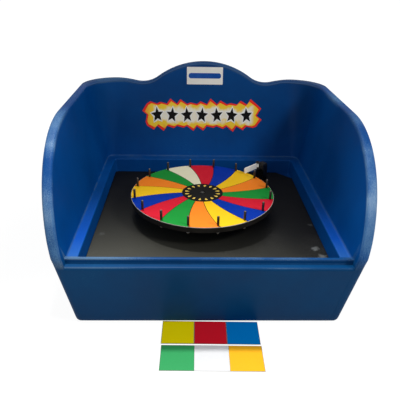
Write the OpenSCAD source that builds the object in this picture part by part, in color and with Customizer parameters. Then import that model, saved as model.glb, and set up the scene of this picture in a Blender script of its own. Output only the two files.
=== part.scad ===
// Table-top colour wheel in a moulded plastic tub, with a clacker and two loose colour cards.
// Millimetres, +Z up. The origin is the middle of the tub's foot on the table, and the open
// front of the tub faces -Y.

/* [Tub] */
// Width of the tub across its foot
foot_w = 644; // [620:1:700]
// Distance from the wheel's centre line to the front of the foot
foot_front = 321; // [318:1:350]
// Distance from the wheel's centre line to the back of the foot
foot_back = 317; // [316:1:350]
// Lean of the outer and inner walls away from upright, in degrees
draft = 9.15; // [7:0.05:11]
// Height of the flat top of both wings
wing_top = 442.5; // [420:1:480]
// Distance behind the middle where the wing's curve starts to fall
wing_crest_y = -14; // [-60:1:40]
// Height of the centre of the wing's elliptical curve
wing_curve_z = 150; // [120:1:180]
// How far the wing's elliptical curve would reach in front of the foot
wing_reach = 38; // [28:1:43]
// Thickness of a wing, measured level
wing_wall = 24.3; // [18:0.1:30]
// Thickness of the back wall, measured level
back_wall = 28; // [20:0.1:34]
// Height of the crown above the wings' flat top
crown_rise = 55; // [40:1:80]
// Radius of the crown
crown_r = 266; // [250:1:290]
// Sideways place of the lowest point beside the crown
dip_x = 205; // [195:1:215]
// How far that lowest point lies below the wings' flat top
dip_drop = 10; // [7:0.5:16]
// Distance in from the side of the foot to the top of the shoulder
shoulder_in = 21; // [10:1:36]
// Plan radius of the back corners at the foot
back_corner_r = 30; // [24:1:60]
// Plan radius of the inside back corners at the ledge
mouth_low_r = 25; // [15:1:30]
// Plan radius of the inside back corners, level with the crown
mouth_top_r = 130; // [90:1:140]
// Radius of the front corners and of the bottom edge
edge_r = 10; // [8:0.5:16]
// Height of the crest of the front lip
lip_crest = 191; // [189:0.5:200]
// Height of the step in front of the crest
lip_step = 179; // [176:0.5:185]
// Thickness of the lip from the front face to the recess, at the step
lip_depth = 31; // [26:0.5:40]
// Width of the lip's crest
lip_crest_w = 11; // [8:0.5:16]
// Skin thickness of the hollow moulding
skin = 4; // [3:0.1:6]

/* [Recess and floor board] */
// Height of the ledge round the recess
ledge_z = 185.6; // [183:0.1:188]
// Width of the ledge beside the recess
ledge_w = 26; // [20:0.5:32]
// Width of the ledge behind the recess
back_ledge_w = 28.5; // [18:0.5:34]
// Height of the recess floor
recess_floor = 133.85; // [120:0.05:150]
// Corner radius of the recess
recess_r = 8; // [3:0.5:14]
// Thickness of the floor board
board_t = 6.35; // [4:0.05:12]
// Gap between the board and the recess wall
board_gap = 1.5; // [0.5:0.1:4]
// Length of the cut across the board's back right corner, along each side
board_clip = 48; // [20:1:90]

/* [Wheel] */
// Diameter of the wheel
wheel_d = 406.4; // [340:0.2:440]
// Sideways place of the wheel's axle
wheel_x = -10; // [-30:1:30]
// Thickness of the plywood disc
disc_t = 14; // [9:0.1:18]
// Thickness of the white face sheet
sheet_t = 1.25; // [0.8:0.05:4]
// Thickness of the black line film
line_t = 0.15; // [0.1:0.05:0.4]
// Thickness of the colour film
film_t = 0.3; // [0.2:0.05:0.6]
// Gap between the floor board and the underside of the disc
wheel_gap = 44.3; // [42:0.1:60]
// Width of the white edge that shows round the colours
white_edge = 0.9; // [0.5:0.1:4]
// Width of the black line between two colours
line_w = 1.7; // [0.6:0.1:3]
// Number of colour segments, which is also the number of pegs
segment_n = 16; // [11:5:21]
// Turn of a line from the hub out to the rim, in degrees
swirl = 9.6; // [0:0.1:14]
// Radius of the printed hub
hub_print_r = 58; // [50:1:70]
// Radius of the ring of drops on the hub
drop_ring_r = 44; // [38:0.5:48]
// Length of a drop
drop_len = 13; // [8:0.5:14]

/* [Pegs] */
// Distance from the wheel's edge in to the circle of pegs
peg_inset = 10; // [7:0.1:30]
// Direction of the first peg, in degrees from +X
peg_phase = 100.45; // [90:0.05:112]
// Height of a peg above the face
peg_h = 26.5; // [18:0.5:34]
// Diameter of a stud
stud_d = 4.8; // [4:0.1:6]
// Outer diameter of a sleeve
sleeve_d = 6.8; // [6.6:0.1:9]
// Bare stud above the sleeve
stud_tip = 1.6; // [0:0.1:4]
// Reach of a stud below the face
stud_below = 25; // [24:0.5:34]
// Width across the flats of a stud's nut
peg_nut_af = 8; // [7:0.1:11]
// Height of a stud's nut
peg_nut_h = 4; // [3:0.1:6]

/* [Bearing] */
// Diameter of the axle where it carries the bearings
axle_d = 12; // [10:0.5:14]
// Outer diameter of a bearing
bearing_d = 28; // [26:0.5:32]
// Width of a bearing
bearing_w = 8; // [7:0.5:9]
// Diameter of a ball
ball_d = 4.76; // [4:0.01:5]
// Balls in each bearing
ball_n = 8; // [6:1:9]
// Length of the hub barrel under the disc
hub_len = 26; // [24:0.5:32]
// Outer diameter of the hub barrel
hub_d = 40; // [36:0.5:50]
// Diameter of both flanges
flange_d = 90; // [76:1:110]
// Thickness of both flanges
flange_t = 6; // [4:0.5:8]
// Radius of the screws in both flanges
flange_screw_r = 34; // [30:0.5:36]
// Diameter of the flange screws
screw_d = 4.8; // [4:0.1:5.5]
// Height of the base flange's boss above its plate
boss_h = 10; // [6:0.5:11]
// Diameter of the threaded top of the axle
thread_d = 10; // [8:0.5:10]

/* [Clacker] */
// Direction of the clacker from the axle, in degrees from +X
clacker_angle = 44.2; // [43.6:0.1:44.8]
// How far the flap's tip reaches in past the middle of a peg
flap_bite = 6.2; // [4:0.1:9]
// Length of the flap from its tip to its pin
flap_len = 64; // [50:0.5:66]
// Thickness of the flap
flap_t = 3; // [2:0.1:5]
// Height of the flap
flap_h = 17.5; // [15:0.5:19]
// Gap between the wheel's face and the flap
flap_rise = 3.8; // [2:0.1:6]
// Diameter of the flap's pin
pin_d = 4; // [3:0.1:4.4]
// Diameter of the knuckle round the pin
knuckle_d = 9; // [8.5:0.1:11]
// Width of the post along the rim
post_w = 28; // [26:0.5:40]
// Thickness of the post
post_t = 20; // [16:0.5:24]
// How far the top of the post lies below the top of the flap
post_drop = 2; // [0:0.1:4]
// Sideways place of the post's middle from the line of the flap
post_side = -4; // [-6:0.5:6]
// Radius of the post's top corners
post_r = 10; // [6:0.5:12]
// Thickness of the steel bracket
bracket_t = 2; // [1.5:0.1:3]
// Wire of the return spring
spring_wire = 0.8; // [0.5:0.1:0.8]
// Turns of the return spring
spring_turns = 3; // [2:1:3]

/* [Decals] */
// Width of the sign across its flames
sign_w = 410; // [300:5:460]
// Height of the sign across its flames
sign_h = 112; // [90:1:130]
// Distance from the top of the crown down the wall to the middle of the sign
sign_drop = 173; // [150:1:200]
// Sideways place of the middle of the sign
sign_x = -6; // [-30:1:30]
// Stars in the sign
star_n = 7; // [3:1:7]
// Height of a star over its width
star_stretch = 1.25; // [1:0.05:1.4]
// Width of the label on the crown
label_w = 119; // [80:1:150]
// Height of the label
label_h = 56; // [40:1:60]
// Distance from the top of the crown down the wall to the middle of the label
label_drop = 43.4; // [40:0.1:52]
// Height of the bar on the label
label_bar_h = 17; // [10:0.5:30]
// Thickness of one layer of vinyl
vinyl_t = 0.3; // [0.2:0.05:0.6]

/* [Cards] */
// Side of one colour square
square = 77.4; // [60:0.2:90]
// Thickness of the laminated card
card_t = 0.5; // [0.4:0.1:2]
// Thickness of the colour layer on a card
ink_t = 0.1; // [0.1:0.05:0.4]
// Dark line round each colour square
ink_gap = 0.5; // [0.2:0.1:2]
// Gap between the back card and the tub's rounded bottom edge
card_clear = 0.2; // [0.1:0.1:2]
// Gap between the two cards
card_gap = 4.6; // [3:0.1:20]
// Sideways place of the cards
card_x = 5.2; // [-40:0.1:40]
// Turn of the cards on the table, in degrees
card_turn = -0.9; // [-1.2:0.1:0]

/* [Hidden] */

$fn = 64;
hull_fn = 32;
eps = 0.01;      // overlap that makes a cut pass clean through a face
far = 1000;      // longer than the whole object
rim_solid = 14;  // solid plastic left along the rim
fit = 0.05;      // radial gap of a plain fit
run_fit = 0.08;  // radial gap of a running fit
glue_t = 0.02;   // film of glue under the vinyl

// Walls of the tub
lean = tan(draft);
half = foot_w / 2;
wing_in = half - wing_wall;
back_in = foot_back - back_wall;
crown_top = wing_top + crown_rise;
dip_z = wing_top - dip_drop;
shoulder_x = half - shoulder_in;
wing_curve_y = foot_front + wing_reach + wing_crest_y;
recess_front = -(foot_front + lip_step * lean) + lip_depth;
hull_top = crown_top + 24;
foot_tuck = edge_r / cos(draft) - edge_r * lean;

// Crown of the back wall: three arcs that meet without a corner
crown_z = crown_top - crown_r;
dip_r = (pow(dip_x, 2) + pow(dip_z - crown_z, 2) - pow(crown_r, 2))
    / (2 * (crown_r - (dip_z - crown_z)));
dip_cz = dip_z + dip_r;
shoulder_dx = shoulder_x - dip_x;
shoulder_rise = wing_top - dip_z;
shoulder_r = (pow(shoulder_dx, 2) + pow(shoulder_rise, 2)) / (2 * shoulder_rise) - dip_r;
crown_end = asin(dip_x / (crown_r + dip_r));
dip_end = asin(shoulder_dx / (dip_r + shoulder_r));
function arc(cx, cz, r, a0, a1, n) =
    [for (i = [0:n]) let (a = a0 + (a1 - a0) * i / n) [cx + r * sin(a), cz + r * cos(a)]];
crown_half = concat(
    arc(0, crown_z, crown_r, 0, crown_end, 14),
    arc(dip_x, dip_cz, dip_r, 180 + crown_end, 180 - dip_end, 12),
    arc(shoulder_x, wing_top - shoulder_r, shoulder_r, -dip_end, 0, 6));
function mirrored(pts) = [for (i = [len(pts) - 1:-1:0]) [-pts[i][0], pts[i][1]]];
function wing_curve(grow, n) = [for (i = [0:n]) let (a = 90 * i / n)
    [wing_crest_y - (wing_curve_y + grow) * sin(a),
     wing_curve_z + (wing_top - wing_curve_z + grow) * cos(a)]];

// Recess and board
recess_half = wing_in + ledge_z * lean - ledge_w;
recess_back = back_in + ledge_z * lean - back_ledge_w;
board_top = recess_floor + board_t;
board_half = recess_half - board_gap;
board_front = recess_front + board_gap;
board_back = recess_back - board_gap;

// Heights in the wheel
disc_z = board_top + wheel_gap;
sheet_z = disc_z + disc_t;
line_z = sheet_z + sheet_t;
film_z = line_z + line_t;
face_z = film_z + film_t;
wheel_r = wheel_d / 2;
film_r = wheel_r - white_edge;
peg_circle_r = wheel_r - peg_inset;
peg_step = 360 / segment_n;
colour_n = 5;    // colours that repeat round the wheel, before the last, white one

// Bearing stack, from the hub barrel's lower end up
barrel_z = disc_z - hub_len;
barrel_lip = 1;
low_bearing_z = barrel_z + barrel_lip;
top_bearing_z = disc_z - 1 - bearing_w;
ball_ring_r = (axle_d + bearing_d) / 4;
inner_ring_r = ball_ring_r - ball_d / 2 + 0.9;
outer_ring_r = ball_ring_r + ball_d / 2 - 0.9;
cage_h = ball_d + 1.6;
axle_washer_t = 1.5;
axle_nut_h = 8;
axle_nut_af = 17;
axle_top = face_z + 1.8;
centre_bore_r = 14;
film_bore_r = thread_d / 2 + 1.6;
boss_r = 16;
boss_top = board_top + flange_t + boss_h;
collar_r = 8.4;
screw_head_r = screw_d * 0.95;
screw_head_h = 2.6;
screw_bite = 12;
pad_r = flange_screw_r + 14;
pad_depth = screw_bite + 8;

drop_fat = 0.42;  // half width of a drop's outline over its length

// Clacker
flap_z = face_z + flap_rise;
flap_top = flap_z + flap_h;
flap_tip_r = peg_circle_r - flap_bite;
pin_r = flap_tip_r + flap_len;
post_top = flap_top - post_drop;
ear_gap = 0.5;
ear_r = knuckle_d / 2 + 2.5;
web_r = pin_r + ear_r;
post_in = web_r + bracket_t;
knuckle_z = flap_z + 4.8;
spring_r = pin_d / 2 + spring_wire / 2 + 0.7;
spring_pitch = spring_wire + 0.45;
spring_sides = 6;
spring_z = flap_z - 0.2 + spring_wire / 2;
bracket_screw_y = post_w / 2 - 5;
bracket_screw_z = (flap_z + flap_top) / 2;
bracket_screw_d = 3;
post_screw_d = 4;
post_screw_y = post_w / 2 - 7.5;
post_screw_x = post_in + post_t / 2;
countersink = 2.4;

// Decals and cards
wall_top = crown_top / cos(draft);
sign_up = wall_top - sign_drop;
label_up = wall_top - label_drop;
flame_n = 11;      // flames along the top, and along the bottom
flame_end_n = 2;   // flames along each end
flame_reach = 19;
border_w = 5;
star_pitch = (sign_w - 2 * flame_reach - 4 * border_w) / star_n;
star_r = min(star_pitch, (sign_h - 2 * flame_reach - 2 * border_w) / star_stretch) * 0.44;
card_w = 3 * square;
card_high = card_t + ink_t + card_clear;
card_back_y = -(foot_front - foot_tuck) - card_w / 2 * sin(abs(card_turn))
    - sqrt(pow(edge_r, 2) - pow(edge_r - card_high, 2));

// Helpers
module at_wheel() {
    translate([wheel_x, 0, 0]) children();
}

// The frame of the clacker: x runs out from the axle, y along the rim
module at_clacker() {
    at_wheel() rotate([0, 0, clacker_angle]) children();
}

// The inner face of the back wall: x across, y up the wall, z out of it
module on_back_wall() {
    translate([0, back_in, 0]) rotate([90 - draft, 0, 0]) translate([0, 0, glue_t]) children();
}

module box(x0, x1, y0, y1, z0, z1) {
    translate([x0, y0, z0]) cube([x1 - x0, y1 - y0, z1 - z0]);
}

module ring(r_out, r_in, z0, h) {
    translate([0, 0, z0]) difference() {
        cylinder(r = r_out, h = h);
        translate([0, 0, -eps]) cylinder(r = r_in, h = h + 2 * eps);
    }
}

// A plate with round corners, standing on z0
module plate(x0, x1, y0, y1, z0, h, r) {
    box(x0 + r, x1 - r, y0, y1, z0, z0 + h);
    box(x0, x1, y0 + r, y1 - r, z0, z0 + h);
    for (x = [x0 + r, x1 - r], y = [y0 + r, y1 - r])
        translate([x, y, z0]) cylinder(r = r, h = h);
}

// Extrude a [y, z] outline along X, or an [x, z] outline along Y
module along_x(x0, x1) {
    translate([x0, 0, 0]) rotate([90, 0, 90]) linear_extrude(x1 - x0) children();
}
module along_y(y0, y1) {
    translate([0, y1, 0]) rotate([90, 0, 0]) linear_extrude(y1 - y0) children();
}

module at_pegs() {
    at_wheel() for (k = [0:segment_n - 1])
        rotate([0, 0, peg_phase - peg_step * k]) translate([peg_circle_r, 0, 0]) children();
}

module peg_bores(z0, h) {
    at_pegs() translate([0, 0, z0 - eps]) cylinder(r = stud_d / 2 + fit, h = h + 2 * eps);
}

module flange_holes(r, z0, h) {
    for (a = [45:90:315]) rotate([0, 0, a]) translate([flange_screw_r, 0, z0])
        cylinder(r = r, h = h);
}

// Tub: one hollow moulding with leaning walls, two wings, a crowned back and a grooved lip.
// A level slice of its outside at height z, drawn in by inset, as its four corner discs
module outside_slice(z, inset) {
    grow = z * lean - inset;
    corner_r = back_corner_r + grow;
    for (s = [-1, 1]) {
        translate([s * (half + grow - edge_r), -(foot_front + grow - edge_r), z])
            cylinder(r = edge_r, h = eps, $fn = hull_fn);
        translate([s * (half + grow - corner_r), foot_back + grow - corner_r, z])
            cylinder(r = corner_r, h = eps, $fn = hull_fn);
    }
}

module tub_outside() {
    rim_r = back_corner_r - edge_r;
    hull() {
        outside_slice(hull_top, 0);
        for (s = [-1, 1]) {
            translate([s * (half - foot_tuck), -(foot_front - foot_tuck), edge_r])
                sphere(r = edge_r, $fn = hull_fn);
            translate([s * (half - foot_tuck - rim_r), foot_back - foot_tuck - rim_r, edge_r])
                rotate_extrude($fn = hull_fn) translate([rim_r, 0]) circle(r = edge_r, $fn = hull_fn);
        }
    }
}

// Everything under the wings' curve and the crown
module under_rim(inset) {
    y_split = back_in;
    along_x(-far / 2, far / 2) polygon(concat(
        [[y_split, -eps], [y_split, wing_top - inset]],
        wing_curve(-inset, 24),
        [[wing_crest_y - wing_curve_y + inset, -eps]]));
    along_y(y_split - 1, far / 2) polygon(concat(
        [[-far / 2, -eps], [-far / 2, wing_top - inset]],
        [for (p = mirrored(crown_half)) [p[0], p[1] - inset]],
        [for (p = crown_half) [p[0], p[1] - inset]],
        [[far / 2, wing_top - inset], [far / 2, -eps]]));
}

// The space between the wings and the back wall, above the ledge
module tub_mouth() {
    low_x = wing_in + ledge_z * lean;
    top_x = wing_in + hull_top * lean;
    low_y = back_in + ledge_z * lean;
    top_y = back_in + hull_top * lean;
    hull() for (s = [-1, 1]) {
        translate([s * (low_x - mouth_low_r), low_y - mouth_low_r, ledge_z])
            cylinder(r = mouth_low_r, h = eps, $fn = hull_fn);
        translate([s * (top_x - mouth_top_r), top_y - mouth_top_r, hull_top])
            cylinder(r = mouth_top_r, h = eps, $fn = hull_fn);
        translate([s * (low_x - eps), recess_front, ledge_z]) cylinder(r = eps, h = eps, $fn = 4);
        translate([s * (top_x - eps), recess_front, hull_top]) cylinder(r = eps, h = eps, $fn = 4);
    }
}

// The open front between the wings, down to the lip's crest, step and rounded edge
module tub_front_gap() {
    step_y = recess_front - lip_crest_w;
    round_r = 5;
    edge_y = -(foot_front + (lip_step - round_r) * lean) + round_r;
    intersection() {
        along_x(-far / 2, far / 2) difference() {
            polygon([[recess_front + 1, lip_crest], [recess_front + 1, hull_top + 1],
                [-far / 2, hull_top + 1], [-far / 2, lip_step - round_r],
                [edge_y, lip_step - round_r], [edge_y, lip_step],
                [step_y, lip_step], [step_y, lip_crest]]);
            translate([edge_y, lip_step - round_r]) circle(r = round_r);
        }
        along_y(-far / 2, recess_front + 1) polygon([
            [-wing_in - (lip_step - 20) * lean, lip_step - 20],
            [wing_in + (lip_step - 20) * lean, lip_step - 20],
            [wing_in + (hull_top + 1) * lean, hull_top + 1],
            [-wing_in - (hull_top + 1) * lean, hull_top + 1]]);
    }
}

module tub_recess() {
    plate(-recess_half, recess_half, recess_front, recess_back, recess_floor,
        ledge_z - recess_floor + 1, recess_r);
}

// The sealed hollow: a space under the recess, and a flat one inside each wing and the back
module tub_hollow() {
    high = lip_step - 2 * skin;
    difference() {
        hull() {
            outside_slice(skin, edge_r);
            outside_slice(1.5 * edge_r, skin / cos(draft) + 1);
            outside_slice(high - eps, skin / cos(draft) + 1);
        }
        box(-recess_half - skin, recess_half + skin, recess_front - skin, recess_back + skin,
            recess_floor - skin, ledge_z);
        at_wheel() translate([0, 0, recess_floor - pad_depth]) cylinder(r = pad_r, h = pad_depth);
    }
    intersection() {
        under_rim(rim_solid);
        union() {
            for (s = [0, 1]) mirror([s, 0, 0]) along_y(-foot_front, foot_back - back_corner_r)
                wall_slot(wing_in, half, high);
            rotate([0, 0, 90]) along_y(-half + 1.5 * back_corner_r, half - 1.5 * back_corner_r)
                wall_slot(back_in, foot_back, high);
        }
    }
}

// Section of the flat hollow in one leaning wall
module wall_slot(inner, outer, top_of_base) {
    low = top_of_base - 2;
    high = crown_top;
    polygon([[inner + skin + low * lean, low], [outer - skin + low * lean, low],
        [outer - skin + high * lean, high], [inner + skin + high * lean, high]]);
}

module tub() {
    color("royalblue") difference() {
        intersection() {
            tub_outside();
            under_rim(0);
        }
        tub_mouth();
        tub_front_gap();
        tub_recess();
        tub_hollow();
        at_wheel() flange_holes(screw_d / 2 + fit, recess_floor - screw_bite, screw_bite + 1);
    }
}

// Floor board: black board laid in the recess, with one corner cut off for lifting it out
module floor_board() {
    corner_r = recess_r;
    color([0.13, 0.13, 0.13]) difference() {
        plate(-board_half, board_half, board_front, board_back, recess_floor, board_t, corner_r);
        translate([board_half, board_back, recess_floor - 1]) rotate([0, 0, 45])
            cube([board_clip * sqrt(2), 2 * board_clip, 4 * board_t], center = true);
        at_wheel() flange_holes(screw_d / 2 + fit, recess_floor - 1, board_t + 2);
        at_clacker() for (s = [-1, 1])
            translate([post_screw_x, post_side + s * post_screw_y, recess_floor]) {
                translate([0, 0, -1]) cylinder(r = post_screw_d / 2 + fit, h = board_t + 2);
                countersink_cut();
            }
    }
}

module countersink_cut() {
    translate([0, 0, -eps])
        cylinder(r1 = post_screw_d / 2 + countersink + fit + eps, r2 = post_screw_d / 2 + fit,
            h = countersink + eps);
}

// Base flange: round steel plate with a boss that holds the axle
module base_flange() {
    color("dimgray") at_wheel() difference() {
        union() {
            translate([0, 0, board_top]) cylinder(r = flange_d / 2, h = flange_t);
            translate([0, 0, board_top]) cylinder(r = boss_r, h = flange_t + boss_h);
        }
        translate([0, 0, board_top - 1]) cylinder(r = axle_d / 2 + fit, h = flange_t + boss_h + 2);
        flange_holes(screw_d / 2 + fit, board_top - 1, flange_t + 2);
    }
}

module flange_screws() {
    grip = flange_t + board_t + screw_bite - 2;
    color("silver") at_wheel() {
        flange_holes(screw_head_r, board_top + flange_t, screw_head_h);
        flange_holes(screw_d / 2, board_top + flange_t - grip, grip + 1);
    }
}

// Axle: fixed shaft with a collar that the lower bearing sits on and a threaded top
module axle() {
    color("silver") at_wheel() {
        translate([0, 0, board_top]) cylinder(r = axle_d / 2, h = boss_top - board_top + 0.5);
        translate([0, 0, boss_top]) cylinder(r = collar_r, h = low_bearing_z - boss_top);
        translate([0, 0, low_bearing_z - 0.5])
            cylinder(r = axle_d / 2, h = top_bearing_z + bearing_w - low_bearing_z + 0.5);
        translate([0, 0, top_bearing_z + bearing_w - 0.5])
            cylinder(r = thread_d / 2, h = axle_top - 1 - top_bearing_z - bearing_w + 0.5);
        translate([0, 0, axle_top - 1]) cylinder(r1 = thread_d / 2, r2 = thread_d / 2 - 1, h = 1);
    }
}

module axle_washer() {
    color("silver") at_wheel()
        ring(inner_ring_r, thread_d / 2 + fit, top_bearing_z + bearing_w, axle_washer_t);
}

module axle_nut() {
    color("gray") at_wheel() translate([0, 0, top_bearing_z + bearing_w + axle_washer_t])
        difference() {
            cylinder(d = axle_nut_af / cos(30), h = axle_nut_h, $fn = 6);
            translate([0, 0, -1]) cylinder(r = thread_d / 2 + fit, h = axle_nut_h + 2);
        }
}

// Bearings: two deep-groove ball bearings with a spacer between their inner rings
module at_bearings() {
    at_wheel() for (z = [low_bearing_z, top_bearing_z]) translate([0, 0, z]) children();
}

module ball_groove() {
    translate([0, 0, bearing_w / 2]) rotate_extrude() translate([ball_ring_r, 0])
        circle(r = ball_d / 2 + run_fit);
}

module bearing_inner_rings() {
    color("silver") at_bearings() difference() {
        ring(inner_ring_r, axle_d / 2, 0, bearing_w);
        ball_groove();
    }
}

module bearing_outer_rings() {
    color("silver") at_bearings() difference() {
        ring(bearing_d / 2, outer_ring_r, 0, bearing_w);
        ball_groove();
    }
}

module at_balls() {
    for (k = [0:ball_n - 1]) rotate([0, 0, k * 360 / ball_n])
        translate([ball_ring_r, 0, bearing_w / 2]) children();
}

module bearing_balls() {
    color("gainsboro") at_bearings() at_balls() sphere(d = ball_d);
}

module bearing_cages() {
    color("darkgoldenrod") at_bearings() difference() {
        ring(ball_ring_r + 1, ball_ring_r - 1, (bearing_w - cage_h) / 2, cage_h);
        at_balls() translate([-2, 0, 0]) rotate([0, 90, 0]) cylinder(r = ball_d / 2 + run_fit, h = 4);
    }
}

module bearing_spacer() {
    color("gray") at_wheel() ring(inner_ring_r - 0.6, axle_d / 2 + fit, low_bearing_z + bearing_w,
        top_bearing_z - low_bearing_z - bearing_w);
}

// Wheel hub: flanged aluminium barrel that holds both bearings under the disc
module wheel_hub() {
    color("lightgray") at_wheel() difference() {
        union() {
            translate([0, 0, barrel_z]) cylinder(r = hub_d / 2, h = hub_len);
            translate([0, 0, disc_z - flange_t]) cylinder(r = flange_d / 2, h = flange_t);
        }
        translate([0, 0, barrel_z - 1]) cylinder(r = outer_ring_r + 0.4, h = hub_len + 2);
        translate([0, 0, low_bearing_z]) cylinder(r = bearing_d / 2, h = hub_len);
        flange_holes(screw_d / 2 + fit, disc_z - flange_t - 1, flange_t + 2);
    }
}

module hub_screws() {
    seat = disc_z - flange_t;
    color("silver") at_wheel() {
        flange_holes(screw_head_r, seat - screw_head_h, screw_head_h);
        flange_holes(screw_d / 2, seat - 1, flange_t + disc_t - 3);
    }
}

// Wheel disc: black painted plywood
module wheel_disc() {
    color([0.07, 0.07, 0.07]) difference() {
        at_wheel() ring(wheel_r, centre_bore_r, disc_z, disc_t);
        peg_bores(disc_z, disc_t);
        at_wheel() flange_holes(screw_d / 2 + fit, disc_z - 1, disc_t - 2.8);
    }
}

module face_sheet() {
    color("white") difference() {
        at_wheel() ring(wheel_r, film_bore_r, sheet_z, sheet_t);
        peg_bores(sheet_z, sheet_t);
    }
}

module line_film() {
    color([0.05, 0.05, 0.05]) difference() {
        at_wheel() ring(film_r, film_bore_r, line_z, line_t);
        peg_bores(line_z, line_t);
    }
}

// Colour segments: between two lines that bend back as they run out from the hub
function line_angle(k, r) =
    peg_phase + 0.8 - peg_step * k - swirl * (film_r - r) / (film_r - hub_print_r);
function side(k, shift) = [for (i = [0:12])
    let (r = hub_print_r + line_w / 2 + (film_r - hub_print_r - line_w / 2) * i / 12,
        a = line_angle(k, r) + shift * asin(line_w / 2 / r))
    [r * cos(a), r * sin(a)]];
function rim_arc(k) = [for (i = [1:11])
    let (a0 = line_angle(k, film_r), a = a0 - peg_step * i / 12) [film_r * cos(a), film_r * sin(a)]];
function hub_arc(k) = [for (i = [3:-1:1])
    let (r = hub_print_r + line_w / 2, a = line_angle(k, r) - peg_step * i / 4)
    [r * cos(a), r * sin(a)]];
function reversed(v) = [for (i = [len(v) - 1:-1:0]) v[i]];

module segment(k) {
    translate([0, 0, film_z]) linear_extrude(film_t) polygon(concat(
        side(k, -1), rim_arc(k), reversed(side(k + 1, 1)), hub_arc(k)));
}

module segments(colour) {
    difference() {
        at_wheel() for (k = [colour:colour_n:segment_n - 2]) segment(k);
        peg_bores(film_z, film_t);
    }
}

module red_segments() {
    color([0.92, 0.18, 0.24]) segments(0);
}
module blue_segments() {
    color([0, 0.22, 0.72]) segments(1);
}
module yellow_segments() {
    color([1, 0.86, 0.1]) segments(2);
}
module orange_segments() {
    color([1, 0.6, 0.14]) segments(3);
}
module green_segments() {
    color([0.14, 0.65, 0.25]) segments(4);
}
module white_segment() {
    color("ivory") difference() {
        at_wheel() segment(segment_n - 1);
        peg_bores(film_z, film_t);
    }
}

// Hub print: black disc with a ring of drops that point at the axle
module hub_film() {
    color([0.05, 0.05, 0.05]) at_wheel()
        ring(hub_print_r - line_w / 2, film_bore_r, film_z, film_t);
}

module drop() {
    w = drop_len * drop_fat;
    polygon([for (i = [0:15]) let (a = i * 22.5)
        [drop_len / 2 * cos(a), w * sin(a) * (0.55 + 0.45 * cos(a))]]);
}

module hub_drops() {
    color([0.95, 0.8, 0.3]) at_wheel() for (k = [0:segment_n - 1])
        rotate([0, 0, peg_phase - swirl - peg_step * (k + 0.5)])
            translate([drop_ring_r, 0, face_z]) linear_extrude(line_t) drop();
}

// Pegs: steel studs through the disc, each with a dark sleeve above it and a nut below
module peg_studs() {
    color("silver") at_pegs() translate([0, 0, face_z - stud_below])
        cylinder(d = stud_d, h = stud_below + peg_h);
}

module peg_sleeves() {
    color([0.2, 0.12, 0.08]) at_pegs() ring(sleeve_d / 2, stud_d / 2 + fit, face_z, peg_h - stud_tip);
}

peg_washer_t = 1;
module peg_washers() {
    color("silver") at_pegs() ring(stud_d, stud_d / 2 + fit, disc_z - peg_washer_t, peg_washer_t);
}

module peg_nuts() {
    color("silver") at_pegs() translate([0, 0, disc_z - peg_washer_t - peg_nut_h]) difference() {
        cylinder(d = peg_nut_af / cos(30), h = peg_nut_h, $fn = 6);
        translate([0, 0, -1]) cylinder(r = stud_d / 2 + fit, h = peg_nut_h + 2);
    }
}

// Clacker: a post beside the rim, and a white flap that swings on a pin in its bracket
module clacker_post() {
    top = post_top;
    color([0.06, 0.06, 0.06]) at_clacker() difference() {
        union() {
            box(post_in, post_in + post_t, post_side - post_w / 2, post_side + post_w / 2,
                board_top, top - post_r);
            box(post_in, post_in + post_t, post_side - post_w / 2 + post_r,
                post_side + post_w / 2 - post_r, board_top, top);
            for (s = [-1, 1])
                translate([post_in, post_side + s * (post_w / 2 - post_r), top - post_r])
                    rotate([0, 90, 0]) cylinder(r = post_r, h = post_t);
        }
        for (s = [-1, 1]) {
            translate([post_screw_x, post_side + s * post_screw_y, board_top - 1])
                cylinder(r = post_screw_d / 2 + fit, h = 27);
            translate([post_in - 1, post_side + s * bracket_screw_y, bracket_screw_z]) rotate([0, 90, 0])
                cylinder(r = bracket_screw_d / 2 + fit, h = 14);
        }
    }
}

module post_screws() {
    color("silver") at_clacker() for (s = [-1, 1])
        translate([post_screw_x, post_side + s * post_screw_y, recess_floor]) {
            cylinder(r1 = post_screw_d / 2 + countersink, r2 = post_screw_d / 2, h = countersink);
            cylinder(r = post_screw_d / 2, h = board_t + 25);
        }
}

module flap_bracket() {
    web_half = bracket_screw_y + 5;
    color([0.08, 0.08, 0.08]) at_clacker() difference() {
        union() {
            box(web_r, post_in, post_side - web_half, post_side + web_half,
                flap_z - ear_gap - bracket_t, flap_top + ear_gap + bracket_t);
            for (z = [flap_z - ear_gap - bracket_t, flap_top + ear_gap]) {
                box(pin_r, web_r + 0.5, -ear_r, ear_r, z, z + bracket_t);
                translate([pin_r, 0, z]) cylinder(r = ear_r, h = bracket_t);
            }
        }
        translate([pin_r, 0, flap_z - 10]) cylinder(r = pin_d / 2 + fit, h = flap_h + 20);
        for (s = [-1, 1]) translate([web_r - 1, post_side + s * bracket_screw_y, bracket_screw_z])
            rotate([0, 90, 0]) cylinder(r = bracket_screw_d / 2 + fit, h = bracket_t + 2);
    }
}

module bracket_screws() {
    color("silver") at_clacker() for (s = [-1, 1])
        translate([web_r, post_side + s * bracket_screw_y, bracket_screw_z]) rotate([0, 90, 0]) {
            translate([0, 0, -1.8]) cylinder(d = bracket_screw_d * 1.9, h = 1.8);
            translate([0, 0, -1]) cylinder(d = bracket_screw_d, h = 13);
        }
}

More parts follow.
